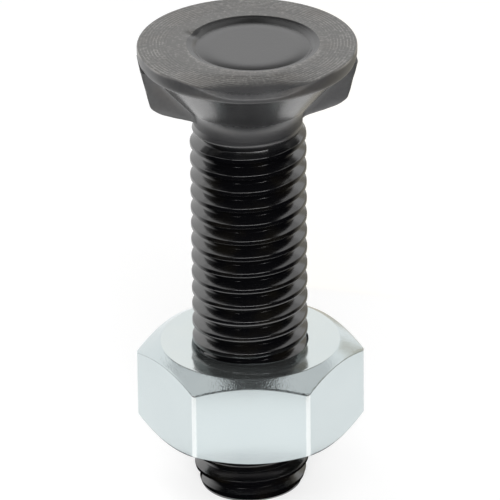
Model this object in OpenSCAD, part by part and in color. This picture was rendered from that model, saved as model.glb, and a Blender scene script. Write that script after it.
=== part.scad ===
// Plow bolt with two nibs under a flat countersunk head, and its hexagon nut.
// Millimetres. The bolt stands on its threaded end: Z runs up its axis, the origin is the
// centre of the end face, and the nibs lie along X.

/* [Bolt] */
// Overall length, threaded end to head top
bolt_l = 40.6; // [30:0.1:60]
// Diameter of the plain neck between thread and cone
neck_d = 9.1; // [8.8:0.1:9.4]
// Height of the plain neck below the cone's corner
neck_h = 1.9; // [0.9:0.1:3]

/* [Head] */
// Diameter of the head's rim
head_d = 18.2; // [17.2:0.1:22]
// Height of the straight rim
rim_h = 1.35; // [0.6:0.05:2.5]
// Rounding of the rim's top edge
rim_round = 0.2; // [0.1:0.05:0.5]
// Width of the rounding at the rim's lower edge
under_w = 0.2; // [0.05:0.05:0.25]
// Height of the rounding at the rim's lower edge
under_h = 0.5; // [0.1:0.05:0.6]
// Width of the rolled edge along the front of the rim, at its widest
roll_w = 2; // [0.6:0.1:2.4]
// Drop of the rolled edge, at its widest
roll_h = 0.65; // [0.3:0.05:0.9]
// Half angle over which the edge is rolled
roll_spread = 62; // [50:1:80]
// Angle about the axis of the rolled edge's middle
roll_turn = 268; // [0:1:359]
// Diameter of the cone where it meets the rim
cone_d = 17; // [14:0.1:17]
// Height of the cone, from the rim to its corner with the neck
cone_h = 4.55; // [3.5:0.05:7]
// Radius of the fillet between cone and neck
neck_fillet = 0.4; // [0.2:0.1:2.2]

/* [Recess in the head] */
// Distance of the recess from the head's centre
recess_shift = 0.5; // [0:0.05:1]
// Diameter of the recess at the head's face
recess_mouth_d = 11; // [8:0.1:13]
// Width of the sloping shoulder inside the mouth
recess_shoulder_w = 0.3; // [0.1:0.05:0.6]
// Depth of the sloping shoulder
recess_shoulder_h = 0.09; // [0.03:0.01:0.15]
// Width of the level ledge between the shoulder and the wall
recess_ledge_w = 0.08; // [0.04:0.02:0.3]
// Width that the sloping wall takes between the ledge and the floor
recess_wall_w = 0.36; // [0.1:0.02:0.6]
// Depth of the middle of the floor
recess_depth = 0.22; // [0.18:0.02:0.6]
// How much deeper the floor is along its wall
recess_dip = 0.12; // [0.02:0.02:0.3]
// Width over which the floor falls to its wall
recess_dip_w = 1.4; // [0.5:0.1:2]

/* [Nibs] */
// Width of each nib, under the rim
nib_w = 4; // [2.5:0.1:6]
// Draft of the nib's flanks, which narrow away from the rim
nib_draft = 9; // [0:1:10]
// Distance from the axis to the nib's outer face, under the rim
nib_reach_top = 9; // [8:0.1:9]
// Distance from the axis to the nib's outer face, at its lower corner
nib_reach_low = 8.2; // [6.5:0.1:8.4]
// Height of the nib's outer corner below the rim
nib_outer_h = 4.1; // [2.5:0.1:4.5]
// Height of the nib's inner end below the rim
nib_inner_h = 5.2; // [4.6:0.1:5.5]
// Rounding of the nib's outer corner
nib_round = 1.1; // [0.2:0.1:1.6]

/* [Thread] */
// Diameter over the thread's crests
thread_d = 9.7; // [9.4:0.05:10]
// Thread pitch
pitch = 1.5; // [1.2:0.05:2]
// Depth of the thread
thread_depth = 0.8; // [0.5:0.05:0.95]
// Width of the crest flat
crest_w = 0.33; // [0.15:0.01:0.4]
// Width of the root flat
root_w = 0.25; // [0.15:0.01:0.4]
// Angle about the axis at which the thread starts at the end
thread_turn = 235; // [0:1:359]
// Length over which the thread runs out below the neck
runout_l = 0.8; // [0.5:0.1:4]
// Diameter of the flat end face
end_d = 8.5; // [7:0.1:9.2]
// Height of the end's chamfer
end_h = 1.9; // [0.5:0.1:3]

/* [Nut] */
// Width of the nut across its flats
nut_flats = 16.7; // [15.5:0.1:19]
// Height of the nut
nut_h = 8; // [6:0.1:10]
// Height of the nut's underside above the bolt's end
nut_z = 5.3; // [0:0.1:18]
// Turn of the nut about the bolt
nut_turn = -6; // [-30:1:30]
// Diameter of the flat faces inside the chamfers
nut_face_d = 15.1; // [13.5:0.1:15.4]
// Angle of the chamfers to the faces
nut_chamfer = 29; // [25:1:45]
// Width of the countersunk mouths round the bore
nut_mouth_w = 0.15; // [0.05:0.05:1]
// Angle of the mouths to the faces
nut_mouth_angle = 45; // [25:1:50]
// Running clearance between the thread's crests and the nut's bore
thread_clearance = 0.1; // [0.05:0.01:0.2]

/* [Hidden] */
$fn = 96;

black_oxide = "#2d2e30";
zinc_plate = "#d2dbde";

// Facets of the thread's turn, and of the small arcs in the outlines
turn_steps = 24;
arc_steps = 6;
// Least width that is left beside the rounding under the rim
least_wall = 0.05;
// Angle at which the rolled edge's curve turns into a straight slope
roll_end = 75;
// How far a cutter stands out of the face that it cuts
cut_over = 1;

// Levels up the bolt
z_rim = bolt_l - rim_h;
z_cone = z_rim - cone_h;
z_neck = z_cone - neck_h;
cone_angle = atan((cone_d - neck_d) / 2 / cone_h);

// The shank's core goes one pitch into the neck, a hair inside its wall
core_step = 0.05;
core_r = neck_d / 2 - core_step;
z_core_top = z_neck + pitch;

// Rows of thread points: crest start, crest end, root start and root end in every pitch
thread_start = 0.3;
flank_w = (pitch - crest_w - root_w) / 2;
profile_z = [0, crest_w, crest_w + flank_w, crest_w + flank_w + root_w];
profile_depth = [0, 0, thread_depth, thread_depth];
points_per_pitch = len(profile_z);
thread_turns = floor((z_neck - thread_start) / pitch);
rows = points_per_pitch * thread_turns;

function arc(centre, r, from, to) =
    [for (i = [0:arc_steps]) let (a = from + (to - from) * i / arc_steps)
        centre + r * [cos(a), sin(a)]];

// Thread radius at a height: the chamfer limits it at the end, and it fades into the core
function end_limit(z) = end_d / 2 + (thread_d - end_d) / 2 * z / end_h;
function runout(z) = max(0, min(1, (z_neck - z) / runout_l));
function thread_r(z, depth) =
    min(end_limit(z), core_r + (thread_d / 2 - depth - core_r) * runout(z));

function on_axis(r, a, z) = [r * cos(a), r * sin(a), z];

// One upright column of points: end edge, thread rows, top of the core
function column(i) =
    let (a = thread_turn + 360 * i / turn_steps)
    concat(
        [on_axis(end_d / 2, a, 0)],
        [for (row = [0:rows - 1])
            let (turn = floor(row / points_per_pitch), j = row % points_per_pitch)
            let (z = thread_start + pitch * (turn + i / turn_steps) + profile_z[j])
            on_axis(thread_r(z, profile_depth[j]), a, z)],
        [on_axis(core_r, a, z_core_top)]);

module threaded_shank() {
    high = rows + 1;
    last = turn_steps - 1;
    shift = points_per_pitch;
    function at(i, row) = i * (rows + 2) + row;
    function quad(i, row, next, next_row) = [
        [at(i, row), at(i, row + 1), at(next, next_row + 1)],
        [at(i, row), at(next, next_row + 1), at(next, next_row)]];

    points = [for (i = [0:last]) each column(i)];
    sides = [for (i = [0:last - 1], row = [0:high - 1]) each quad(i, row, i + 1, row)];
    // The last column meets the first one pitch higher
    seam = [for (row = [1:rows - shift - 1]) each quad(last, row, 0, row + shift)];
    seam_low = concat(
        [for (row = [0:1]) [at(last, 0), at(0, row + 1), at(0, row)]],
        [[at(last, 0), at(last, 1), at(0, 2)]],
        [for (row = [2:shift]) [at(last, 1), at(0, row + 1), at(0, row)]]);
    seam_high = concat(
        [for (row = [rows - shift:rows]) [at(last, row), at(last, row + 1), at(0, rows)]],
        [[at(last, high), at(0, high), at(0, rows)]]);
    caps = [[for (i = [0:last]) at(i, 0)], [for (i = [last:-1:0]) at(i, high)]];
    polyhedron(points, concat(sides, seam, seam_low, seam_high, caps), convexity = 20);
}

module head_profile() {
    fillet_z = z_cone - neck_fillet * tan(cone_angle / 2);
    fillet_centre = [neck_d / 2 + neck_fillet, fillet_z];
    round_centre = [head_d / 2 - rim_round, bolt_l - rim_round];
    // The lower rounding is limited by the rim's step and by its wall
    step_w = min(under_w, (head_d - cone_d) / 2 - least_wall);
    step_h = min(under_h, rim_h - rim_round - least_wall);
    polygon(concat(
        [[0, z_neck], [neck_d / 2, z_neck]],
        arc(fillet_centre, neck_fillet, 180, 180 - cone_angle),
        [[cone_d / 2, z_rim]],
        [for (i = [0:arc_steps]) let (a = 90 * i / arc_steps)
            [head_d / 2 - step_w * (1 - sin(a)), z_rim + step_h * (1 - cos(a))]],
        arc(round_centre, rim_round, 0, 90),
        [[0, bolt_l]]));
}

// An off-centre quarter ellipse, turned about an axis behind the bolt's, which cuts the rim's
// top edge most in front and runs out at the spread to either side
module rolled_edge() {
    rim_r = head_d / 2;
    inner_r = rim_r - roll_w;
    shift = roll_w * (rim_r + inner_r) / 2 / (inner_r - rim_r * cos(roll_spread));
    start_r = inner_r + shift;
    outer_r = start_r + roll_w + cut_over;
    function on_roll(a) = [start_r + roll_w * sin(a), -roll_h * (1 - cos(a))];
    first = on_roll(roll_end / arc_steps);
    last = on_roll(roll_end);
    end_slope = roll_h / roll_w * tan(roll_end);
    rotate(roll_turn)
        translate([-shift, 0, bolt_l])
            rotate_extrude()
                polygon(concat(
                    [2 * on_roll(0) - first],
                    [for (i = [1:arc_steps]) on_roll(roll_end * i / arc_steps)],
                    [[outer_r, last.y - end_slope * (outer_r - last.x)], [outer_r, cut_over],
                        [start_r - roll_w, cut_over]]));
}

module recess() {
    mouth_r = recess_mouth_d / 2;
    ledge_r = mouth_r - recess_shoulder_w;
    wall_r = ledge_r - recess_ledge_w;
    floor_r = wall_r - recess_wall_w;
    translate([recess_shift, 0, bolt_l])
        rotate_extrude()
            polygon([
                [0, -recess_depth],
                [floor_r - recess_dip_w, -recess_depth],
                [floor_r, -recess_depth - recess_dip],
                [wall_r, -recess_shoulder_h],
                [ledge_r, -recess_shoulder_h],
                [mouth_r, 0],
                [mouth_r, cut_over],
                [0, cut_over]]);
}

module nib() {
    corner = [nib_reach_low, z_rim - nib_outer_h];
    inner = [core_r, z_rim - nib_inner_h];
    side_angle = atan((nib_reach_top - nib_reach_low) / nib_outer_h);
    bottom_angle = atan((corner.y - inner.y) / (corner.x - inner.x));
    // Centre of the rounding, tangent to the nib's outer face and its bottom
    half = (90 - side_angle + bottom_angle) / 2;
    away = nib_round / sin(half);
    aim = 180 + bottom_angle - half;
    centre = corner + away * [cos(aim), sin(aim)];
    // Half width of the nib at a height
    function half_w(z) = nib_w / 2 - (z_rim - z) * tan(nib_draft);
    z_low = inner.y - cut_over;
    z_high = z_rim + rim_h;
    intersection() {
        rotate([90, 0, 0])
            linear_extrude(nib_w + 2 * cut_over, center = true)
                polygon(concat(
                    [[0, z_rim + rim_h / 2], [0, inner.y], inner],
                    arc(centre, nib_round, bottom_angle - 90, -side_angle),
                    [[nib_reach_top, z_rim], [nib_reach_top, z_rim + rim_h / 2]]));
        rotate([90, 0, 90])
            linear_extrude(nib_reach_top + cut_over)
                polygon([
                    [-half_w(z_low), z_low],
                    [half_w(z_low), z_low],
                    [half_w(z_high), z_high],
                    [-half_w(z_high), z_high]]);
    }
}

module plow_bolt() {
    color(black_oxide) {
        difference() {
            union() {
                rotate_extrude() head_profile();
                for (turn = [0, 180]) rotate(turn) nib();
            }
            recess();
            rolled_edge();
        }
        threaded_shank();
    }
}

module nut_blank() {
    corner_r = nut_flats / 2 / cos(30);
    chamfer_h = (corner_r - nut_face_d / 2) * tan(nut_chamfer);
    intersection() {
        cylinder(r = corner_r, h = nut_h, $fn = 6);
        rotate_extrude()
            polygon([
                [0, 0],
                [nut_face_d / 2, 0],
                [corner_r, chamfer_h],
                [corner_r, nut_h - chamfer_h],
                [nut_face_d / 2, nut_h],
                [0, nut_h]]);
    }
}

module nut_bore() {
    bore_r = thread_d / 2 + thread_clearance;
    mouth_r = bore_r + nut_mouth_w;
    mouth_h = nut_mouth_w * tan(nut_mouth_angle);
    rotate_extrude()
        polygon([
            [0, -cut_over],
            [mouth_r, -cut_over],
            [mouth_r, 0],
            [bore_r, mouth_h],
            [bore_r, nut_h - mouth_h],
            [mouth_r, nut_h],
            [mouth_r, nut_h + cut_over],
            [0, nut_h + cut_over]]);
}

module hex_nut() {
    color(zinc_plate)
        translate([0, 0, nut_z])
            rotate(nut_turn)
                difference() {
                    nut_blank();
                    nut_bore();
                }
}

plow_bolt();
hex_nut();
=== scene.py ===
"""Plow bolt with its hexagon nut: forged head, rolled thread and zinc-plated nut."""

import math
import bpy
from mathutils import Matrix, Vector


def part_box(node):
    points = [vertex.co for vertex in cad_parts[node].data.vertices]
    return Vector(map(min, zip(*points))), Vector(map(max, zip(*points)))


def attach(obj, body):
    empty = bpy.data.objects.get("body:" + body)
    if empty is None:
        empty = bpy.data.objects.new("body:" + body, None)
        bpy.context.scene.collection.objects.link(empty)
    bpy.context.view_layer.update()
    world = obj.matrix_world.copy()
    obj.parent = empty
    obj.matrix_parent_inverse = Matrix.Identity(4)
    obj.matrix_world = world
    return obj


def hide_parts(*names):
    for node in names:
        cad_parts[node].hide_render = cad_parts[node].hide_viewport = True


bl_info = {
    "name": "Plow Bolt",
    "version": (1, 0, 0),
    "blender": (4, 5, 0),
    "location": "3D View > Sidebar > Plow Bolt",
    "description": "Builds a plow bolt, its hexagon nut and a studio around them",
    "category": "Add Mesh",
}

from functools import partial

import bmesh
import bpy
import numpy as np
from bpy.props import FloatProperty, FloatVectorProperty, PointerProperty
from bpy.types import Operator, Panel, PropertyGroup
from mathutils import Matrix, Vector

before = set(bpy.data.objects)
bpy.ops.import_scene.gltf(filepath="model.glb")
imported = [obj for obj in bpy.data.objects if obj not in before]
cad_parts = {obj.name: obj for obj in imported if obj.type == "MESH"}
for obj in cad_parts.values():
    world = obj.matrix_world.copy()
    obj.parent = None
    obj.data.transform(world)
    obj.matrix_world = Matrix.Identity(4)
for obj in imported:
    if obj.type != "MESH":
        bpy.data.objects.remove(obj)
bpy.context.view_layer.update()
_, BOLT_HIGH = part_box("plow_bolt")
NUT_LOW, NUT_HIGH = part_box("hex_nut")

MM = 0.001
FULL_TURN = 2 * math.pi

# Points closer than this are one point
WELD = 0.0015 * MM
# Edges sharper than this are not smoothed over
SHARP = math.radians(42)


# Sizes and colours


def linear(code, alpha=1.0):
    """Linear colour of an sRGB hex code."""
    parts = [int(code[i : i + 2], 16) / 255 for i in (1, 3, 5)]
    curve = [c / 12.92 if c <= 0.04045 else ((c + 0.055) / 1.055) ** 2.4 for c in parts]
    return (*curve, alpha)


def length(name, description, default):
    """A size that a user would change."""
    return FloatProperty(name=name, description=description, default=default, unit="LENGTH", precision=5)


def angle(name, description, degrees):
    """An angle that a user would change."""
    return FloatProperty(name=name, description=description, default=math.radians(degrees), unit="ROTATION")


def power(name, description, default):
    """A lamp's power that a user would change."""
    return FloatProperty(name=name, description=description, default=default, unit="POWER")


def colour(name, description, code):
    """A colour that a user would change."""
    return FloatVectorProperty(
        name=name, description=description, default=linear(code), size=4, min=0, max=1, subtype="COLOR"
    )


class BoltSizes(PropertyGroup):
    """Sizes of the bolt, heights from its threaded end."""

    bolt_length: length("Length", "Threaded end to head top", BOLT_HIGH.z)
    head_radius: length("Head radius", "Radius of the rim", BOLT_HIGH.y)
    rim_height: length("Rim height", "Height of the straight rim", 1.35 * MM)
    rim_round: length("Rim rounding", "Rounding of the rim's top edge", 0.16 * MM)
    roll_width: length("Roll width", "Width of the rolled edge along the front of the rim", 2.0 * MM)
    roll_drop: length("Roll drop", "Drop of the rolled edge along the front of the rim", 0.58 * MM)
    roll_middle: angle("Roll middle", "Angle of the rolled edge's middle", 268)
    roll_spread: angle("Roll spread", "Half angle of the rolled edge", 56)
    roll_slope: angle("Roll slope", "Slope at which the rolled edge starts", 10)
    under_width: length("Lower rounding, width", "Width of the rim's lower rounding", 0.32 * MM)
    under_height: length("Lower rounding, height", "Height of the rim's lower rounding", 0.85 * MM)
    cone_radius: length("Cone radius", "Radius of the cone under the rim", 8.5 * MM)
    cone_height: length("Cone height", "Rim to the corner between cone and neck", 4.55 * MM)
    neck_radius: length("Neck radius", "Radius of the plain neck", 4.55 * MM)
    neck_height: length("Neck height", "Plain neck below the cone", 1.0 * MM)
    nib_width: length("Nib width", "Width of each nib", 4 * MM)
    nib_reach_top: length("Nib reach, top", "Axis to the nib's outer face under the rim", 9.0 * MM)
    nib_reach_low: length("Nib reach, low", "Axis to the nib's lower corner", 8.1 * MM)
    nib_outer_height: length("Nib outer height", "Rim to the nib's outer corner", 3.95 * MM)
    nib_inner_height: length("Nib inner height", "Rim to the nib's inner end", 5.05 * MM)
    nib_draft: angle("Nib draft", "Slope of the nib's flanks", 9)
    surround: length("Surround", "Radius at which the turned rings end", 6.2 * MM)
    recess_shift: length("Recess shift", "Recess centre off the bolt's axis", 0.5 * MM)
    recess_mouth: length("Recess mouth", "Radius of the recess at the face", 5.5 * MM)
    recess_ledge: length("Recess ledge", "Radius where the shoulder turns into the ledge", 5.2 * MM)
    recess_wall: length("Recess wall", "Radius where the ledge turns into the wall", 5.12 * MM)
    recess_floor: length("Recess floor", "Radius of the recess floor", 4.76 * MM)
    recess_shoulder: length("Recess shoulder", "Depth of the sloping shoulder", 0.09 * MM)
    recess_depth: length("Recess depth", "Depth of the recess floor", 0.22 * MM)
    recess_moat: length("Recess moat", "How much deeper the floor is along its wall", 0.12 * MM)
    recess_moat_width: length("Moat width", "Width over which the floor falls to its wall", 1.4 * MM)
    ring_spacing: length("Ring spacing", "Spacing of the turned rings on the head", 0.27 * MM)
    ring_height: length("Ring height", "Height of the turned rings", 0.014 * MM)
    thread_radius: length("Thread radius", "Radius over the crests", 4.85 * MM)
    pitch: length("Pitch", "Axial distance from crest to crest", 1.5 * MM)
    thread_depth: length("Thread depth", "Crest to root", 0.8 * MM)
    crest_width: length("Crest width", "Width of the crest flat", 0.33 * MM)
    root_width: length("Root width", "Width of the root flat", 0.25 * MM)
    thread_start: length("Thread start", "Height of a crest's lower edge at the start angle", 0.3 * MM)
    thread_angle: angle("Thread angle", "Start angle of the thread", 235)
    runout_length: length("Run-out", "Length over which the thread fades into the neck", 1.3 * MM)
    end_radius: length("End radius", "Radius of the flat end", 4.25 * MM)
    end_height: length("End chamfer", "Height of the end's chamfer", 1.9 * MM)


class NutSizes(PropertyGroup):
    """Sizes of the nut."""

    low: length("Underside", "Height of the nut's underside", NUT_LOW.z)
    height: length("Height", "Height of the nut", NUT_HIGH.z - NUT_LOW.z)
    flats: length("Across flats", "Width across the flats", 16.7 * MM)
    edge_round: length("Edge rounding", "Rounding of the six upright edges", 0.55 * MM)
    face_radius: length("Face radius", "Radius of the flat faces inside the chamfers", 7.55 * MM)
    chamfer: angle("Chamfer", "Angle of the chamfers", 29)
    turn: angle("Turn", "Turn about the bolt", -6)
    mouth_radius: length("Mouth radius", "Radius of the countersunk mouths", 4.9 * MM)
    major_radius: length("Major radius", "Radius of the internal thread's roots", 4.88 * MM)
    minor_radius: length("Minor radius", "Radius of the internal thread's crests", 4.28 * MM)
    thread_play: length("Thread play", "Axial play between the two threads", 0.05 * MM)


class FinishColours(PropertyGroup):
    """Colours of the finishes, with the painted shade and highlights among them."""

    thread: colour("Thread", "Oiled black oxide on the rolled thread", "#08080a")
    thread_brown: colour("Thread, brown", "Brownish bloom of the oxide", "#12100c")
    forging: colour("Forging", "Black oxide on the forged skin", "#4f4f4f")
    forging_dark: colour("Forging, dark", "Thicker oxide in patches", "#424243")
    # Painted shade on the cone, the neck, the thread's run-out and the rolled edge
    forging_shade: colour("Forging, cone", "Shade painted on the cone and the neck", "#343435")
    forging_brown: colour("Forging, brown", "Brownish bloom of the oxide", "#544e48")
    bare_edge: colour("Bare edge", "Rim's edge, rubbed through the oxide", "#a19e99")
    # Painted shade, near black, along the wall of the recess
    recess_shade: colour("Recess shade", "Oil along the recess's wall", "#080808")
    turned: colour("Turned face", "Black oxide on the turned face", "#575654")
    # Also the painted highlight on the recess's mouth at the front
    turned_light: colour("Turned face, light", "Ridges left by the tool", "#8c8a86")
    zinc: colour("Zinc", "Blue-white zinc plating", "#ccd6d8")
    zinc_pale: colour("Zinc, pale", "Paler patches of the plating", "#d6dfe0")
    zinc_face: colour("Zinc, faces", "Paler plating on the two faces", "#dde3e1")
    # Painted highlight along the upright edges
    zinc_edge_highlight: colour("Zinc, edges", "Highlighted upright edges", "#edf2f2")


class StudioSettings(PropertyGroup):
    """Camera and light."""

    distance: length("Camera distance", "Camera to the aim point", 603 * MM)
    lens: FloatProperty(name="Lens", description="Focal length in millimetres", default=519.7)
    elevation: angle("Elevation", "Camera above the horizon", 26.4)
    azimuth: angle("Azimuth", "Camera round the bolt", -6)
    roll: angle("Roll", "Lean of the bolt in the picture", 0.64)
    aim_height: length("Aim height", "Height of the aim point", 21.6 * MM)
    aim_side: length("Aim side", "Aim point right of the axis", 0.06 * MM)
    key_power: power("Key", "Power of the overhead softbox", 0.3)
    fill_power: power("Front fill", "Power of the front softbox", 3.0)
    strip_power: power("Strip", "Power of the front strip", 0.25)
    floor_colour: colour("Floor", "White floor", "#b8b8b8")
    floor_lift: FloatProperty(
        name="Floor lift", description="Share of the floor's white that is its own", default=0.64
    )


# Order of the finishes on the bolt and on the nut
ROLLED, FORGED, TURNED, STAMPED = range(4)
PLATED, CHAMFERED, FACED = range(3)


# Shapes


def smooth_max(a, b, width):
    """The larger of two, with the corner between them rounded over a width."""
    near = np.maximum(width - np.abs(a - b), 0) / width
    return np.maximum(a, b) + near * near * width / 4


def smooth_min(a, b, width):
    """The smaller of two, with the corner between them rounded over a width."""
    return -smooth_max(-a, -b, width)


def ease(x):
    """0 below 0, 1 above 1, and a smooth step between."""
    x = np.clip(x, 0, 1)
    return x * x * (3 - 2 * x)


def away_from(angles, centre):
    """How far each angle lies from a centre, either way round."""
    return np.abs((angles - centre + math.pi) % FULL_TURN - math.pi)


class Skin:
    """Points and faces of one piece, added in rows that run round the axis."""

    def __init__(self, angles):
        self.angles = angles
        self.points = []
        self.faces = []
        self.finishes = []
        self.count = 0

    def place(self, radius, height, centre=0.0):
        """One row of points round the axis, or round a centre beside it along X."""
        radius = np.broadcast_to(radius, self.angles.shape)
        height = np.broadcast_to(height, self.angles.shape)
        return np.stack([centre + radius * np.cos(self.angles), radius * np.sin(self.angles), height], axis=1)

    def add(self, rows, finish, seam=0):
        """Join rows of points. At the seam the last column meets the first, seam rows higher."""
        start = self.count
        columns = len(self.angles)
        self.points.extend(rows)
        self.count += columns * len(rows)
        for row in range(len(rows) - 1):
            for i in range(columns):
                shift = seam if i == columns - 1 else 0
                if row + shift + 1 >= len(rows):
                    continue
                here = start + row * columns + i
                there = start + (row + shift) * columns + (i + 1) % columns
                self.faces.append((here, there, there + columns, here + columns))
                self.finishes.append(finish)

    def build(self, name, materials):
        """Weld the rows into one closed mesh object."""
        mesh = bpy.data.meshes.new(name)
        mesh.from_pydata(np.concatenate(self.points).tolist(), [], self.faces)
        mesh.polygons.foreach_set("material_index", self.finishes)
        shape = bmesh.new()
        shape.from_mesh(mesh)
        bmesh.ops.remove_doubles(shape, verts=shape.verts, dist=WELD)
        bmesh.ops.dissolve_degenerate(shape, edges=shape.edges, dist=WELD)
        bmesh.ops.recalc_face_normals(shape, faces=shape.faces)
        loose = [v for v in shape.verts if not v.link_faces]
        bmesh.ops.delete(shape, geom=loose, context="VERTS")
        open_edges = [e for e in shape.edges if len(e.link_faces) != 2]
        if open_edges:
            raise RuntimeError(f"{name} has {len(open_edges)} open edges")
        shape.to_mesh(mesh)
        shape.free()
        for material in materials:
            mesh.materials.append(material)
        mesh.shade_smooth()
        mesh.set_sharp_from_angle(angle=SHARP)
        piece = bpy.data.objects.new(name, mesh)
        bpy.context.scene.collection.objects.link(piece)
        normals = piece.modifiers.new("Weighted normals", "WEIGHTED_NORMAL")
        normals.keep_sharp = True
        return piece


def crest_phase(angles, bolt):
    """Height of a crest's middle at each angle, on the turn that starts at the end."""
    start = bolt.thread_start + bolt.crest_width / 2
    return start + bolt.pitch * (angles - bolt.thread_angle) / FULL_TURN


def thread_cut(offset, bolt):
    """Depth of the rolled thread at an axial offset from the middle of a crest."""
    upper_round, lower_round, root_round = 0.07 * MM, 0.03 * MM, 0.22 * MM
    crest_round = np.where(offset > 0, upper_round, lower_round)
    flank = (bolt.pitch - bolt.crest_width - bolt.root_width) / 2
    slant = bolt.thread_depth / flank * (np.abs(offset) - bolt.crest_width / 2)
    return smooth_max(0, smooth_min(slant, bolt.thread_depth, root_round), crest_round)


def thread_knots(bolt):
    """Offsets from the middle of a crest at which the thread's profile gets a row."""
    crest = bolt.crest_width / 2
    root = (bolt.pitch - bolt.root_width) / 2
    edge = 0.06 * MM
    half = [crest - edge, crest, crest + edge, root - edge, root + edge / 4]
    return [-k for k in reversed(half)] + half + [bolt.pitch / 2]


def shank_rows(skin, bolt, top):
    """Rows of the rolled thread, from the flat end up to the neck."""
    knots = thread_knots(bolt)
    phase = crest_phase(skin.angles, bolt)
    # In the run-out only a faint trace of the thread is left near the neck
    faint, trace, plain = 0.08, 0.9 * MM, 0.25 * MM
    end_round = 0.12 * MM
    spare = 2
    turns = math.ceil(top / bolt.pitch) + spare
    rows = []
    for turn in range(-spare - 1, turns):
        for knot in knots:
            height = np.clip(phase + turn * bolt.pitch + knot, 0, top)
            offset = (height - phase + bolt.pitch / 2) % bolt.pitch - bolt.pitch / 2
            below = top - height
            full = ease((below - plain) / (bolt.runout_length - plain))
            fade = faint * ease(below / trace) + (1 - faint) * full
            radius = bolt.thread_radius - thread_cut(offset, bolt)
            radius = bolt.neck_radius + (radius - bolt.neck_radius) * fade
            chamfer = (bolt.thread_radius - bolt.end_radius) * height / bolt.end_height
            rows.append(skin.place(smooth_min(radius, bolt.end_radius + chamfer, end_round), height))
    return rows, len(knots)


def end_rows(ring):
    """Rows that close the flat end, from its middle out to its edge."""
    return [ring * np.array([share, share, 1]) for share in (0, 0.3, 0.6, 0.93, 1)]


def seat_radius(angles, height, bolt, rim, cone):
    """Radius of the neck, the cone and the nibs at a height."""
    neck_fillet, nib_fillet = 0.75 * MM, 0.7 * MM
    corner_round, edge_round = 1.9 * MM, 0.9 * MM
    # Keeps the nib's planes finite where they run along the ray
    least = 0.02
    slope = (bolt.cone_radius - bolt.neck_radius) / bolt.cone_height
    round_cone = smooth_max(bolt.neck_radius, bolt.neck_radius + slope * (height - cone), neck_fillet)
    corner = rim - bolt.nib_outer_height
    inner = rim - bolt.nib_inner_height
    side_slope = (bolt.nib_reach_top - bolt.nib_reach_low) / bolt.nib_outer_height
    side = bolt.nib_reach_low + side_slope * (height - corner)
    floor_slope = (bolt.nib_reach_low - bolt.neck_radius) / (corner - inner)
    below = bolt.neck_radius + floor_slope * (height - inner)
    reach = smooth_min(side, below, corner_round)
    outer = reach / np.maximum(np.abs(np.cos(angles)), least)
    half = bolt.nib_width / 2 - math.tan(bolt.nib_draft) * (rim - height)
    flank = half / np.maximum(np.abs(np.sin(angles)), least)
    nib = smooth_min(outer, flank, edge_round)
    return smooth_max(round_cone, nib, nib_fillet)


def seat_rows(skin, bolt, rim, cone, neck):
    """Rows of the neck, the cone and the nibs, up to the underside of the rim."""
    inner = rim - bolt.nib_inner_height
    past_corner = rim - bolt.nib_outer_height + 0.4 * MM
    heights = [
        *np.linspace(neck, inner, 10)[:-1],
        *np.linspace(inner, past_corner, 24)[:-1],
        *np.linspace(past_corner, rim, 22),
    ]
    return [skin.place(seat_radius(skin.angles, z, bolt, rim, cone), z) for z in heights]


class RimEdge:
    """The rim's top edge at each column: a quarter ellipse, which swells and falls along the front."""

    # Each form is whole at the roll's middle: how long it stays so, and how fast it fades to the sides
    SWELL, FALL, SLOPE = (1.5, 2.4), (1.35, 1.7), (1.15, 1.4)
    RIPPLE = 0.05
    APRON_GAP = 0.15 * MM
    APRON_ROUND = 0.3 * MM
    LEAST_WALL = 0.05 * MM

    def __init__(self, angles, bolt):
        ripple = 1 + self.RIPPLE * (np.sin(7 * angles) + np.sin(13 * angles + 1))
        away = away_from(angles, bolt.roll_middle) / bolt.roll_spread
        swell, fall, slope = (ease(stay - rate * away) for stay, rate in (self.SWELL, self.FALL, self.SLOPE))
        self.apron_start = bolt.surround + self.APRON_GAP
        self.slope = math.tan(bolt.roll_slope) * slope
        self.width = bolt.rim_round + (bolt.roll_width - bolt.rim_round) * np.minimum(swell * ripple, 1)
        self.inner = bolt.head_radius - self.width
        self.curve = bolt.rim_round + (bolt.roll_drop - bolt.rim_round) * fall
        self.drop = self.apron(self.inner) + self.slope * self.width + self.curve
        self.under = np.minimum(bolt.under_height, bolt.rim_height - self.drop - self.LEAST_WALL)

    def apron(self, radius):
        """How far the turned face has fallen at a radius, along the front."""
        return self.slope * smooth_max(radius - self.apron_start, 0, self.APRON_ROUND)


def rim_rows(skin, bolt, rim, edge):
    """Rows of the rim, from its underside round its lower edge and up its wall to the turned face."""
    low = rim + edge.under
    high = bolt.bolt_length - edge.drop
    rows = []
    for arc in np.linspace(0, math.pi / 2, 9):
        radius = bolt.head_radius - bolt.under_width * (1 - math.sin(arc))
        rows.append(skin.place(radius, rim + edge.under * (1 - math.cos(arc))))
    for share in (0.33, 0.67):
        rows.append(skin.place(bolt.head_radius, low + (high - low) * share))
    for arc in np.linspace(math.pi / 2, 0, 20):
        out = edge.width * math.sin(arc)
        fallen = edge.apron(edge.inner) + edge.slope * out + edge.curve * (1 - math.cos(arc))
        rows.append(skin.place(edge.inner + out, bolt.bolt_length - fallen))
    return rows


def face_rows(skin, bolt, edge):
    """Rows of the turned face, from the rim's edge in to the recess's surround."""
    inner_fade, outer_fade = 0.6 * MM, 0.1 * MM
    rows = []
    for share in np.linspace(0, 1, 70)[1:]:
        radius = edge.inner + (bolt.surround - edge.inner) * share
        fade = ease((radius - bolt.surround) / inner_fade) * ease((edge.inner - radius) / outer_fade)
        ridge = 0.5 - 0.5 * np.cos(FULL_TURN * (bolt.head_radius - radius) / bolt.ring_spacing)
        fallen = edge.apron(radius) + bolt.ring_height * fade * ridge
        rows.append(skin.place(radius, bolt.bolt_length - fallen))
    return rows


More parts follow.
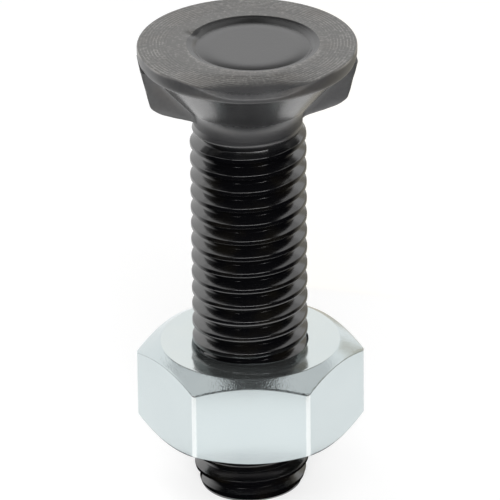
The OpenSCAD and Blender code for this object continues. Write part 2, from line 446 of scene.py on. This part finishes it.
def press_chip(rows):
    """Press a small chip into the edge of the recess, at the back left."""
    middle = np.array([-4.3, 2.5]) * MM
    size, depth = 0.5 * MM, 0.14 * MM
    for row in rows:
        away = np.sum((row[:, :2] - middle) ** 2, axis=1) / size**2
        row[:, 2] -= depth * np.exp(-away)


def surround_rows(skin, bolt):
    """Rows of the flat round the recess, which move from the bolt's axis to the recess's."""
    rows = []
    for share in np.linspace(0, 1, 7):
        radius = bolt.surround + (bolt.recess_mouth - bolt.surround) * share
        rows.append(skin.place(radius, bolt.bolt_length, bolt.recess_shift * share))
    return rows


def recess_rows(skin, bolt):
    """Rows of the off-centre recess, from its mouth down its wall and over its raised floor."""
    step = 0.03 * MM
    ledge = bolt.recess_shoulder
    foot = bolt.recess_depth + bolt.recess_moat
    # Radius and depth, with each corner softened over a step or two
    stations = [
        (bolt.recess_mouth, 0),
        (bolt.recess_mouth - step, ledge * 0.04),
        (bolt.recess_mouth - 2 * step, ledge * 0.14),
        (bolt.recess_ledge + 2 * step, ledge * 0.86),
        (bolt.recess_ledge, ledge),
        (bolt.recess_wall, ledge * 1.04),
        (bolt.recess_wall - step, ledge * 1.2),
        (bolt.recess_floor + 2 * step, foot * 0.88),
        (bolt.recess_floor + step, foot * 0.96),
        (bolt.recess_floor, foot),
    ]
    for share in np.linspace(0, 1, 12)[1:]:
        depth = bolt.recess_depth + bolt.recess_moat * (1 - share) ** 2
        stations.append((bolt.recess_floor - bolt.recess_moat_width * share, depth))
    flat = bolt.recess_floor - bolt.recess_moat_width
    for share in (0.75, 0.5, 0.25, 0):
        stations.append((flat * share, bolt.recess_depth))
    return [skin.place(r, bolt.bolt_length - depth, bolt.recess_shift) for r, depth in stations]


def bolt_skin(bolt):
    """All rows of the bolt."""
    columns = 192
    # How much closer together the columns are at the nibs
    crowd = 0.45
    even = np.arange(columns) / columns * FULL_TURN
    skin = Skin(even - crowd / 2 * np.sin(2 * even))
    rim = bolt.bolt_length - bolt.rim_height
    cone = rim - bolt.cone_height
    neck = cone - bolt.neck_height
    shank, seam = shank_rows(skin, bolt, neck)
    seat = seat_rows(skin, bolt, rim, cone, neck)
    edge = RimEdge(skin.angles, bolt)
    wall = rim_rows(skin, bolt, rim, edge)
    face = face_rows(skin, bolt, edge)
    surround = surround_rows(skin, bolt)
    hollow = recess_rows(skin, bolt)
    press_chip(face + surround + hollow)
    # The tool has turned the upper half of the rolled edge too
    turned_edge = 10
    turned = len(wall) - turned_edge
    skin.add(end_rows(shank[0]), ROLLED)
    skin.add(shank, ROLLED, seam)
    skin.add([shank[-1]] + seat + [wall[0]], FORGED)
    skin.add(wall[: turned + 1], FORGED)
    skin.add(wall[turned:] + face + surround, TURNED)
    skin.add(hollow, STAMPED)
    return skin


def nut_angles(nut):
    """Columns of the nut: close together round each corner, wider along each flat."""
    sixth, half = math.pi / 3, math.pi / 6
    core = (nut.flats / 2 - nut.edge_round) / math.cos(half)
    tangent = math.atan2(nut.edge_round * math.sin(half), core + nut.edge_round * math.cos(half))
    corner = np.linspace(-tangent, tangent, 9)
    flat = np.linspace(tangent, sixth - tangent, 24)[1:-1]
    sector = np.concatenate([corner, flat])
    return np.concatenate([sector + k * sixth for k in range(6)]), core


def hexagon(angles, nut, core):
    """Radius of the hexagon at each angle, with its corners rounded."""
    across = (angles + math.pi / 6) % (math.pi / 3) - math.pi / 6
    from_flat = math.pi / 6 - np.abs(across)
    flat = nut.flats / 2 / np.cos(from_flat)
    side = core * np.sin(across)
    arc = core * np.cos(across) + np.sqrt(np.maximum(nut.edge_round**2 - side**2, 0))
    return np.where(np.abs(side) < nut.edge_round / 2, np.minimum(flat, arc), flat)


def nut_half_rows(nut, radius):
    """Radius and depth of the rows from a mouth out to the middle of the flats: face, chamfer, flat."""
    soft, below_edge = 0.015 * MM, 0.08 * MM
    reach = radius - nut.face_radius
    fall = reach * math.tan(nut.chamfer)
    span = nut.face_radius - soft - nut.mouth_radius
    face = [(nut.mouth_radius + span * share, 0) for share in (0, 0.5, 0.9, 1)]
    chamfer = [face[-1], (nut.face_radius, soft * 0.35)]
    for share in (0.15, 0.4, 0.65, 0.85):
        chamfer.append((nut.face_radius + reach * share, fall * share + soft * 0.3))
    edge = np.minimum(soft, reach / 8)
    corner = fall + soft * 2.5
    chamfer.append((radius - edge, fall + soft * 0.2))
    chamfer.append((radius - edge * 0.3, fall + soft))
    chamfer.append((radius, corner))
    flat = [
        chamfer[-1],
        (radius, corner + below_edge),
        (radius, corner * 0.5 + nut.height * 0.25),
        (radius, nut.height / 2),
    ]
    return face, chamfer, flat


def add_nut_outside(skin, nut, radius):
    """Add the faces, the chamfers and the flats, the same way up and upside down."""
    finishes = (FACED, CHAMFERED, PLATED)
    for group, finish in zip(nut_half_rows(nut, radius), finishes):
        skin.add([skin.place(r, nut.low + depth) for r, depth in group], finish)
        skin.add([skin.place(r, nut.low + nut.height - depth) for r, depth in group], finish)


def nut_thread_rows(skin, nut, bolt):
    """Rows of the internal thread, from the underside's mouth to the top's."""
    phase = crest_phase(skin.angles + nut.turn, bolt)
    flank = math.tan(math.pi / 6)
    root = max(bolt.crest_width / 2 - (nut.major_radius - bolt.thread_radius) * flank, 0) + nut.thread_play
    crest = root + (nut.major_radius - nut.minor_radius) * flank
    low, high = nut.low, nut.low + nut.height
    spare = 2
    first = math.floor(low / bolt.pitch) - spare
    last = math.ceil(high / bolt.pitch) + spare
    knots = [-crest, -root, root, crest]
    radii = [nut.minor_radius, nut.major_radius, nut.major_radius, nut.minor_radius]
    mouth_slope = 4
    rows = []
    for turn in range(first, last):
        for knot, radius in zip(knots, radii):
            height = np.clip(phase + turn * bolt.pitch + knot, low, high)
            mouth = nut.mouth_radius - mouth_slope * np.minimum(height - low, high - height)
            rows.append(skin.place(np.maximum(radius, mouth), height))
    return rows, len(knots)


def nut_skin(nut, bolt):
    """All rows of the nut, turned to its place on the bolt."""
    angles, core = nut_angles(nut)
    skin = Skin(angles)
    add_nut_outside(skin, nut, hexagon(angles, nut, core))
    thread, seam = nut_thread_rows(skin, nut, bolt)
    skin.add(thread, PLATED, seam)
    turn = np.array(Matrix.Rotation(nut.turn, 3, "Z"))
    skin.points = [row @ turn.T for row in skin.points]
    return skin


# Finishes

# Settings that many nodes share
OF_COLOURS = {"data_type": "RGBA"}
SMOOTH_STEP = {"interpolation_type": "SMOOTHSTEP"}
ADD = {"operation": "ADD"}
SUBTRACT = {"operation": "SUBTRACT"}
MULTIPLY = {"operation": "MULTIPLY"}
MULTIPLY_ADD = {"operation": "MULTIPLY_ADD"}
CLAMPED = {"use_clamp": True}


def add_node(tree, kind, settings=None, **inputs):
    """Add a shader node with its settings, and set or link each input.

    An input goes by its name, with _ for a space, or by i and its number. A node given as an input
    is linked from the first output that it offers.
    """
    node = tree.nodes.new("ShaderNode" + kind)
    for name, value in (settings or {}).items():
        setattr(node, name, value)
    for name, value in inputs.items():
        numbered = name[0] == "i" and name[1:].isdigit()
        socket = node.inputs[int(name[1:]) if numbered else name.replace("_", " ")]
        if isinstance(value, bpy.types.Node):
            value = next(output for output in value.outputs if output.enabled)
        if isinstance(value, bpy.types.NodeSocket):
            tree.links.new(value, socket)
        else:
            socket.default_value = value
    return node


def new_material(name):
    """An empty material, the call that adds its nodes, and the coordinates of the object."""
    material = bpy.data.materials.new(name)
    material.use_nodes = True
    material.node_tree.nodes.clear()
    node = partial(add_node, material.node_tree)
    return material, node, node("TexCoord").outputs["Object"]


def from_axis(node, place):
    """Distance of a place from the Z axis."""
    flat = node("VectorMath", MULTIPLY, i0=place, i1=(1.0, 1.0, 0.0))
    return node("VectorMath", {"operation": "LENGTH"}, i0=flat)


def rolled_black_oxide(colours, bolt):
    """Black oxide over a rolled thread, oiled: near black, smooth and glossy, dull where it runs out."""
    material, node, place = new_material("black_oxide_steel_rolled")
    patches = node("TexNoise", Vector=place, Scale=1 / (2.5 * MM), Detail=4.0)
    grain = node("TexNoise", Vector=place, Scale=1 / (0.12 * MM), Detail=3.0)
    brown = node("MapRange", Value=patches, From_Min=0.5, From_Max=0.7, To_Max=0.8)
    tint = node("Mix", OF_COLOURS, i0=brown, i6=colours.thread, i7=colours.thread_brown)
    gloss = node("MapRange", Value=patches, To_Min=0.1, To_Max=0.22)
    neck = bolt.bolt_length - bolt.rim_height - bolt.cone_height - bolt.neck_height
    height = node("SeparateXYZ", Vector=place).outputs["Z"]
    # Where the thread runs out, it fades into the painted shade of the neck
    runout = node("MapRange", SMOOTH_STEP, Value=height, From_Min=neck - 1.2 * MM, From_Max=neck - 0.3 * MM)
    faded = node("Mix", OF_COLOURS, i0=runout, i6=tint, i7=colours.forging_shade)
    rough = node("Math", MULTIPLY_ADD, i0=runout, i1=0.15, i2=gloss)
    bump = node("Bump", Strength=0.12, Distance=0.01 * MM, Height=grain)
    steel = node("BsdfPrincipled", Base_Color=faded, Roughness=rough, IOR=2.2, Normal=bump)
    node("OutputMaterial", Surface=steel)
    return material


def forged_black_oxide(colours, bolt):
    """Black oxide over a forged skin: dark satin grey, mottled, grainy, with painted shade on the cone and
    the neck, bright on the rim's rubbed edge.
    """
    material, node, place = new_material("black_oxide_steel_forged")
    top, rim_round = bolt.bolt_length, bolt.rim_round
    rim = top - bolt.rim_height
    corner = rim - bolt.cone_height
    patches = node("TexNoise", Vector=place, Scale=1 / (3 * MM), Detail=5.0)
    bloom = node("TexNoise", Vector=place, Scale=1 / (5 * MM), Detail=3.0)
    grain = node("TexNoise", Vector=place, Scale=1 / (0.3 * MM), Detail=2.0)
    radius = from_axis(node, place)
    axes = node("SeparateXYZ", Vector=place).outputs
    height = axes["Z"]

    mottle = node("Math", ADD, i0=patches, i1=grain)
    spread = node("MapRange", Value=mottle, From_Min=0.75, From_Max=1.25)
    tone = node("Mix", OF_COLOURS, i0=spread, i6=colours.forging_dark, i7=colours.forging)
    brown = node("MapRange", Value=bloom, From_Min=0.5, From_Max=0.75, To_Max=0.6)
    tint = node("Mix", OF_COLOURS, i0=brown, i6=tone, i7=colours.forging_brown)

    # Painted shade: the cone and the neck, sheltered under the rim, are darkened
    cone = node(
        "MapRange",
        Value=height,
        From_Min=corner,
        From_Max=rim,
        To_Min=bolt.neck_radius,
        To_Max=bolt.cone_radius,
    )
    proud = node("Math", SUBTRACT, i0=radius, i1=cone)
    sheltered = node("MapRange", Value=proud, From_Min=0.05 * MM, From_Max=0.4 * MM, To_Min=1.0, To_Max=0.0)
    shaded = node("Mix", OF_COLOURS, i0=sheltered, i6=tint, i7=colours.forging_shade)

    # The rim's top edge is rubbed bare, apart from the front
    rubbed = node("MapRange", Value=patches, From_Min=0.35, From_Max=0.6, To_Max=0.85)
    masks = (
        (radius, bolt.head_radius - rim_round, bolt.head_radius - rim_round * 0.6),
        (height, top - rim_round * 1.6, top - rim_round * 0.7),
        (axes["Y"], -6.5 * MM, -4.5 * MM),
    )
    wear = rubbed
    for value, start, whole in masks:
        mask = node("MapRange", Value=value, From_Min=start, From_Max=whole)
        wear = node("Math", MULTIPLY, i0=wear, i1=mask)
    worn = node("Mix", OF_COLOURS, i0=wear, i6=shaded, i7=colours.bare_edge)

    # The sheltered cone is glossier than the rim, and the neck duller
    gloss = node("MapRange", Value=grain, To_Min=0.34, To_Max=0.44)
    change = node(
        "MapRange",
        SMOOTH_STEP,
        Value=height,
        From_Min=corner - 0.3 * MM,
        From_Max=corner + 1.0 * MM,
        To_Min=0.12,
        To_Max=-0.16,
    )
    rough = node("Math", MULTIPLY_ADD, i0=sheltered, i1=change, i2=gloss)
    bump = node("Bump", Strength=0.06, Distance=0.02 * MM, Height=grain)
    steel = node("BsdfPrincipled", Base_Color=worn, Roughness=rough, IOR=2.15, Normal=bump)
    node("OutputMaterial", Surface=steel)
    return material


def stamped_black_oxide(colours, bolt):
    """Black oxide over a stamped recess: even satin grey, with painted shade, near black, along the wall at
    the front and the back.
    """
    material, node, place = new_material("black_oxide_steel_stamped")
    floor = bolt.recess_floor
    grain = node("TexNoise", Vector=place, Scale=1 / (0.3 * MM), Detail=5.0)
    away = node("VectorMath", SUBTRACT, i0=place, i1=(bolt.recess_shift, 0.0, 0.0))
    radius = from_axis(node, away)
    rearward = node("SeparateXYZ", Vector=away).outputs["Y"]
    # Painted shade: the floor along the front wall and the wall at the back are darkened
    falling = node(
        "MapRange", SMOOTH_STEP, Value=radius, From_Min=floor - 1.1 * MM, From_Max=floor - 0.3 * MM
    )
    rising = node("MapRange", Value=radius, From_Min=floor - 0.1 * MM, From_Max=floor + 0.05 * MM)
    moat = node("Math", SUBTRACT, i0=falling, i1=rising)
    front = node(
        "MapRange",
        SMOOTH_STEP,
        Value=rearward,
        From_Min=-0.8 * floor,
        From_Max=-0.1 * floor,
        To_Min=1.0,
        To_Max=0.1,
    )
    back = node(
        "MapRange", SMOOTH_STEP, Value=rearward, From_Min=0.1 * floor, From_Max=0.8 * floor, To_Max=0.9
    )
    in_front = node("Math", MULTIPLY, i0=moat, i1=front)
    recess_shade = node("Math", MULTIPLY_ADD | CLAMPED, i0=rising, i1=back, i2=in_front)
    tone = node("Mix", OF_COLOURS, i0=grain, i6=colours.forging_dark, i7=colours.forging)
    tint = node("Mix", OF_COLOURS, i0=recess_shade, i6=tone, i7=colours.recess_shade)
    gloss = node("MapRange", Value=grain, To_Min=0.26, To_Max=0.38)
    bump = node("Bump", Strength=0.3, Distance=0.02 * MM, Height=grain)
    steel = node("BsdfPrincipled", Base_Color=tint, Roughness=gloss, IOR=1.8, Normal=bump)
    node("OutputMaterial", Surface=steel)
    return material


def turned_black_oxide(colours, bolt):
    """Black oxide over a turned face: satin grey, with paler ridges where the tool's rings are rubbed, a
    painted highlight on the recess's mouth at the front, and painted shade where it falls to the rolled edge.
    """
    material, node, place = new_material("black_oxide_steel_turned")
    top, surround, mouth = bolt.bolt_length, bolt.surround, bolt.recess_mouth
    patches = node("TexNoise", Vector=place, Scale=1 / (2 * MM), Detail=5.0)
    grain = node("TexNoise", Vector=place, Scale=1 / (0.25 * MM), Detail=5.0)
    bloom = node("TexNoise", Vector=place, Scale=1 / (4 * MM), Detail=4.0)
    radius = from_axis(node, place)
    axes = node("SeparateXYZ", Vector=place).outputs

    # Ridges of the tool's rings, in step with the rings of the shape
    per_ring = FULL_TURN / bolt.ring_spacing
    turns = node("Math", MULTIPLY_ADD, i0=radius, i1=per_ring, i2=-per_ring * bolt.head_radius)
    wave = node("Math", {"operation": "COSINE"}, i0=turns)
    ridge = node("MapRange", Value=wave, From_Min=0.2)
    ringed = node("MapRange", Value=radius, From_Min=surround + 0.2 * MM, From_Max=surround + 1.2 * MM)
    rubbed = node("MapRange", Value=patches, From_Min=0.34, From_Max=0.56)
    shown = node("Math", MULTIPLY, i0=ridge, i1=ringed)
    worn = node("Math", MULTIPLY, i0=shown, i1=rubbed)

    # Painted highlight: the recess's mouth is paler at the front
    away = node("VectorMath", SUBTRACT, i0=place, i1=(bolt.recess_shift, 0.0, 0.0))
    lip_highlight = node(
        "MapRange",
        SMOOTH_STEP,
        Value=from_axis(node, away),
        From_Min=mouth,
        From_Max=mouth + 0.5 * MM,
        To_Min=0.6,
        To_Max=0.0,
    )
    front = node("MapRange", Value=axes["Y"], From_Min=-2 * MM, From_Max=2 * MM, To_Min=1.0, To_Max=0.0)
    lip_highlight_and_wear = node("Math", MULTIPLY_ADD, i0=lip_highlight, i1=front, i2=worn)
    speckle = node("MapRange", {"clamp": False}, Value=grain, From_Min=0.5, From_Max=0.75, To_Max=0.8)
    wear_and_highlight = node("Math", ADD | CLAMPED, i0=lip_highlight_and_wear, i1=speckle)
    grey = node("Mix", OF_COLOURS, i0=wear_and_highlight, i6=colours.turned, i7=colours.turned_light)
    brown = node("MapRange", Value=bloom, From_Min=0.52, From_Max=0.75, To_Max=0.5)
    tone = node("Mix", OF_COLOURS, i0=brown, i6=grey, i7=colours.forging_brown)

    # Painted shade: where the face falls to the rolled edge, it darkens to the shaded forging colour
    fallen = node(
        "MapRange",
        SMOOTH_STEP,
        Value=axes["Z"],
        From_Min=top - 0.36 * MM,
        From_Max=top - 0.04 * MM,
        To_Min=1.0,
        To_Max=0.0,
    )
    forged = node("Mix", OF_COLOURS, i0=fallen, i6=tone, i7=colours.forging_shade)
    gloss = node("MapRange", Value=grain, To_Min=0.28, To_Max=0.44)
    bump = node("Bump", Strength=0.3, Distance=0.025 * MM, Height=grain)
    steel = node("BsdfPrincipled", Base_Color=forged, Roughness=gloss, IOR=1.85, Normal=bump)
    node("OutputMaterial", Surface=steel)
    return material


def bright_zinc(name, plain, colours, nut, peel_strength, rough, metallic):
    """Bright zinc plating: blue-white metal under a cloudy film, smooth, with a painted highlight along the
    upright edges.
    """
    material, node, place = new_material(name)
    patches = node("TexNoise", Vector=place, Scale=1 / (3 * MM), Detail=4.0)
    peel = node("TexNoise", Vector=place, Scale=1 / (0.15 * MM), Detail=2.0)
    tone = node("Mix", OF_COLOURS, i0=patches, i6=plain, i7=colours.zinc_pale)
    # Painted highlight: the upright edges are paler, with a ragged border
    edge_start = math.hypot(nut.flats / 2, (nut.flats / 2 - nut.edge_round) * math.tan(math.pi / 6))
    ragged = node("Math", MULTIPLY_ADD, i0=peel, i1=0.08 * MM, i2=from_axis(node, place))
    edge = node("MapRange", Value=ragged, From_Min=edge_start + 0.05 * MM, From_Max=edge_start + 0.08 * MM)
    tint = node("Mix", OF_COLOURS, i0=edge, i6=tone, i7=colours.zinc_edge_highlight)
    gloss = node("MapRange", Value=patches, To_Min=rough * 0.75, To_Max=rough * 1.25)
    bump = node("Bump", Strength=peel_strength, Distance=0.02 * MM, Height=peel)
    plate = node("BsdfPrincipled", Base_Color=tint, Metallic=metallic, Roughness=gloss, Normal=bump)
    node("OutputMaterial", Surface=plate)
    return material


# Studio


def white_world():
    """Even white light from all round."""
    world = bpy.data.worlds.new("Studio")
    world.use_nodes = True
    tree = world.node_tree
    tree.nodes.clear()
    white = add_node(tree, "Background", Color=linear("#ffffff"))
    add_node(tree, "OutputWorld", Surface=white)
    bpy.context.scene.world = world


def stage_piece(name, points, faces, material):
    """A floor or a card round the object."""
    mesh = bpy.data.meshes.new(name)
    mesh.from_pydata(points, [], faces)
    mesh.materials.append(material)
    piece = bpy.data.objects.new(name, mesh)
    bpy.context.scene.collection.objects.link(piece)
    return piece


def rectangle(half_x, low_y, high_y, height):
    """Points and face of a level rectangle."""
    corners = ((-half_x, low_y), (half_x, low_y), (half_x, high_y), (-half_x, high_y))
    return [(x, y, height) for x, y in corners], [(0, 1, 2, 3)]


def disc(radius, height):
    """Points and face of a level disc."""
    angles = np.linspace(0, FULL_TURN, 65)[:-1]
    points = [(radius * math.cos(a), radius * math.sin(a), height) for a in angles]
    return points, [tuple(range(len(points)))]


def fan(rings, left, right):
    """Points and faces of a card round the front: rings of a radius and a height, between two angles."""
    front = 270
    angles = np.radians(np.linspace(front + left, front + right, 91))
    points = [(r * math.cos(a), r * math.sin(a), z) for a in angles for r, z in rings]
    width = len(rings)
    faces = [
        (first, first + 1, first + 1 + width, first + width)
        for column in range(len(angles) - 1)
        for first in range(column * width, (column + 1) * width - 1)
    ]
    return points, faces


def back_flag():
    """Points and face of a card overhead, wide at the back and narrow above the bolt."""
    height = 450 * MM
    half = [(70, -40), (75, 210), (200, 330), (280, 400), (280, 560)]
    right = [(x * MM, y * MM, height) for x, y in half]
    left = [(-x, y, z) for x, y, z in reversed(right)]
    return right + left, [tuple(range(len(right + left)))]


def white_floor(studio):
    """White floor that stays white where it is seen, and keeps the shadow."""
    half = 1.5
    material, node, _ = new_material("white_sweep")
    path = node("LightPath").outputs
    seen = node("Math", ADD, i0=path["Is Camera Ray"], i1=path["Is Glossy Ray"])
    shown = node("Math", ADD | CLAMPED, i0=seen, i1=path["Is Transmission Ray"])
    lift = node("Math", MULTIPLY, i0=shown, i1=studio.floor_lift)
    matt = node("BsdfDiffuse", Color=studio.floor_colour)
    glow = node("Emission", Strength=lift)
    node("OutputMaterial", Surface=node("AddShader", i0=matt, i1=glow))
    stage_piece("floor", *rectangle(half, -half, half, 0), material)


def card_tone(name, tones):
    """A card of one tone, or of tones that run into one another by their angle from the front."""
    material, node, place = new_material(name)
    glow = node("Emission", Color=linear(tones[0][1]))
    if len(tones) > 1:
        axes = node("SeparateXYZ", Vector=place).outputs
        front = node("Math", MULTIPLY, i0=axes["Y"], i1=-1.0)
        turn = node("Math", {"operation": "ARCTAN2"}, i0=axes["X"], i1=front)
        share = node("MapRange", Value=turn, From_Min=-math.pi, From_Max=math.pi)
        ramp = node("ValToRGB", Fac=share)
        stops = ramp.color_ramp.elements
        while len(stops) < len(tones):
            stops.new(1.0)
        for stop, (degrees, tone) in zip(stops, tones):
            stop.position = 0.5 + degrees / 360
            stop.color = linear(tone)
        material.node_tree.links.new(ramp.outputs["Color"], glow.inputs["Color"])
    node("OutputMaterial", Surface=glow)
    return material


def card(name, shape, tones, in_diffuse):
    """A card that the camera doesn't see, and that the gloss and perhaps the matt light do."""
    piece = stage_piece(name, *shape, card_tone(name, tones))
    piece.visible_camera = False
    piece.visible_diffuse = in_diffuse
    piece.visible_shadow = False
    piece.visible_transmission = False
    piece.visible_volume_scatter = False


def add_cards():
    """Dark cards in front, underfoot and overhead, which keep the steel black, and paler ones round them; the
    ones underfoot are painted shadow.
    """
    lift = 0.2 * MM
    foot, foot_rim = 15 * MM, 21 * MM
    white_end, dark_start, wall = 33 * MM, 36 * MM, 420 * MM
    wall_top, right_top = 460 * MM, 200 * MM
    # Angles from the front, in degrees: where the cards start, turn low and end
    left, low, right, floor_right = -130, 110, 148, 170
    dark = [(-126, "#ffffff"), (-92, "#020202"), (86, "#020202"), (120, "#c9c4b8")]
    grey = [(-126, "#ffffff"), (-92, "#8a8a8a"), (86, "#8a8a8a"), (120, "#d8d5cd")]
    card("front_floor", fan([(dark_start, lift), (wall, lift)], left, floor_right), dark, True)
    card("front_wall", fan([(wall, lift), (wall, wall_top)], left, low), dark, True)
    card("right_wall", fan([(wall, lift), (wall, right_top)], low, right), dark, True)
    card("front_edge", fan([(white_end, lift), (dark_start, lift)], left, floor_right), grey, False)
    # Painted shadow: a black disc and a grey ring under the nut stand in for its shadow where the gloss sees
    # the floor
    card("foot_shadow_card", disc(foot, lift), [(0, "#020202")], False)
    card("foot_shade_ring", fan([(foot, lift), (foot_rim, lift)], -35, 35), [(0, "#dcdcdc")], False)
    card("front_ceiling", rectangle(300 * MM, -420 * MM, -40 * MM, 455 * MM), [(0, "#2c2c2c")], False)
    card("ceiling", disc(620 * MM, 500 * MM), [(0, "#d4d4d4")], True)
    card("back_flag", back_flag(), [(0, "#3c3c3c")], True)


def softbox(name, place, size, watts, in_gloss):
    """One area light aimed at the middle of the bolt, which the gloss may or may not show."""
    aim = Vector((0, 0, 20 * MM))
    data = bpy.data.lights.new(name, "AREA")
    data.shape = "RECTANGLE"
    data.size, data.size_y = size
    data.energy = watts
    lamp = bpy.data.objects.new(name, data)
    lamp.location = place
    lamp.rotation_euler = (aim - Vector(place)).to_track_quat("-Z", "Y").to_euler()
    lamp.visible_glossy = in_gloss
    bpy.context.scene.collection.objects.link(lamp)


def photo_camera(studio):
    """Camera at the photograph's angle, leaned by its roll."""
    rise, turn, lean = studio.elevation, studio.azimuth, studio.roll
    right = Vector((math.cos(turn), math.sin(turn), 0))
    back = Vector((math.sin(turn) * math.cos(rise), -math.cos(turn) * math.cos(rise), math.sin(rise)))
    up = back.cross(right)
    aim = Vector((0, 0, studio.aim_height)) + right * studio.aim_side
    leaned_right = math.cos(lean) * right - math.sin(lean) * up
    leaned_up = math.sin(lean) * right + math.cos(lean) * up
    axes = Matrix((leaned_right, leaned_up, back)).transposed().to_4x4()
    data = bpy.data.cameras.new("Camera")
    data.lens = studio.lens
    # Full frame in millimetres, and metres to where the view ends
    data.sensor_width = 36
    data.clip_end = 10
    camera = bpy.data.objects.new("Camera", data)
    camera.matrix_world = Matrix.Translation(aim + back * studio.distance) @ axes
    bpy.context.scene.collection.objects.link(camera)
    bpy.context.scene.camera = camera


# Operators


class PLOWBOLT_OT_bolt(Operator):
    """Build the bolt: rolled thread, forged seat and nibs, turned face and recess"""

    bl_idname = "plow_bolt.add_bolt"
    bl_label = "Plow Bolt"

    def execute(self, context):
        bolt = context.scene.plow_bolt_sizes
        colours = context.scene.plow_bolt_colours
        finishes = [
            rolled_black_oxide(colours, bolt),
            forged_black_oxide(colours, bolt),
            turned_black_oxide(colours, bolt),
            stamped_black_oxide(colours, bolt),
        ]
        piece = bolt_skin(bolt).build("plow_bolt_dressed", finishes)
        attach(piece, "bolt")
        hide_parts("plow_bolt")
        return {"FINISHED"}


class PLOWBOLT_OT_nut(Operator):
    """Build the hexagon nut with its internal thread"""

    bl_idname = "plow_bolt.add_nut"
    bl_label = "Hexagon Nut"

    def execute(self, context):
        nut = context.scene.plow_bolt_nut
        bolt = context.scene.plow_bolt_sizes
        colours = context.scene.plow_bolt_colours
        # Name, plain tone, strength of the peel, roughness and share of bare metal
        plating = (
            ("zinc_plated_steel_formed", colours.zinc, 0.05, 0.15, 0.8),
            ("zinc_plated_steel_chamfered", colours.zinc, 1.0, 0.05, 0.95),
            ("zinc_plated_steel_faced", colours.zinc_face, 0.05, 0.12, 0.95),
        )
        finishes = [bright_zinc(name, plain, colours, nut, *look) for name, plain, *look in plating]
        piece = nut_skin(nut, bolt).build("hex_nut_dressed", finishes)
        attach(piece, "nut")
        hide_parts("hex_nut")
        return {"FINISHED"}


class PLOWBOLT_OT_studio(Operator):
    """Build the floor, the light and the camera"""

    bl_idname = "plow_bolt.add_studio"
    bl_label = "Studio"

    def execute(self, context):
        studio = context.scene.plow_bolt_studio
        context.scene.view_settings.view_transform = "Standard"
        white_world()
        white_floor(studio)
        add_cards()
        # Places and sizes of the softboxes in metres
        softbox("Key", (-0.12, 0.05, 0.44), (0.3, 0.3), studio.key_power, False)
        softbox("Front fill", (-0.04, -0.48, 0.16), (0.4, 0.2), studio.fill_power, False)
        softbox("Crest strip", (-0.03, -0.3, 0.36), (0.5, 0.06), studio.strip_power, True)
        photo_camera(studio)
        return {"FINISHED"}


class PLOWBOLT_PT_panel(Panel):
    """Lists the pieces and their sizes"""

    bl_idname = "PLOWBOLT_PT_panel"
    bl_label = "Plow Bolt"
    bl_space_type = "VIEW_3D"
    bl_region_type = "UI"
    bl_category = "Plow Bolt"

    def draw(self, context):
        for operator in OPERATORS:
            self.layout.operator(operator.bl_idname)
        for name in GROUPS:
            box = self.layout.box()
            group = getattr(context.scene, name)
            for key in group.bl_rna.properties.keys():
                if key not in ("rna_type", "name"):
                    box.prop(group, key)


GROUPS = {
    "plow_bolt_sizes": BoltSizes,
    "plow_bolt_nut": NutSizes,
    "plow_bolt_colours": FinishColours,
    "plow_bolt_studio": StudioSettings,
}
OPERATORS = (PLOWBOLT_OT_bolt, PLOWBOLT_OT_nut, PLOWBOLT_OT_studio)
CLASSES = (*GROUPS.values(), *OPERATORS, PLOWBOLT_PT_panel)


def register():
    for cls in CLASSES:
        bpy.utils.register_class(cls)
    for name, group in GROUPS.items():
        setattr(bpy.types.Scene, name, PointerProperty(type=group))


def unregister():
    for name in GROUPS:
        delattr(bpy.types.Scene, name)
    for cls in reversed(CLASSES):
        bpy.utils.unregister_class(cls)


def main():
    """Build the bolt, the nut and the studio."""
    register()
    bpy.ops.plow_bolt.add_bolt()
    bpy.ops.plow_bolt.add_nut()
    bpy.ops.plow_bolt.add_studio()


if __name__ == "__main__":
    main()
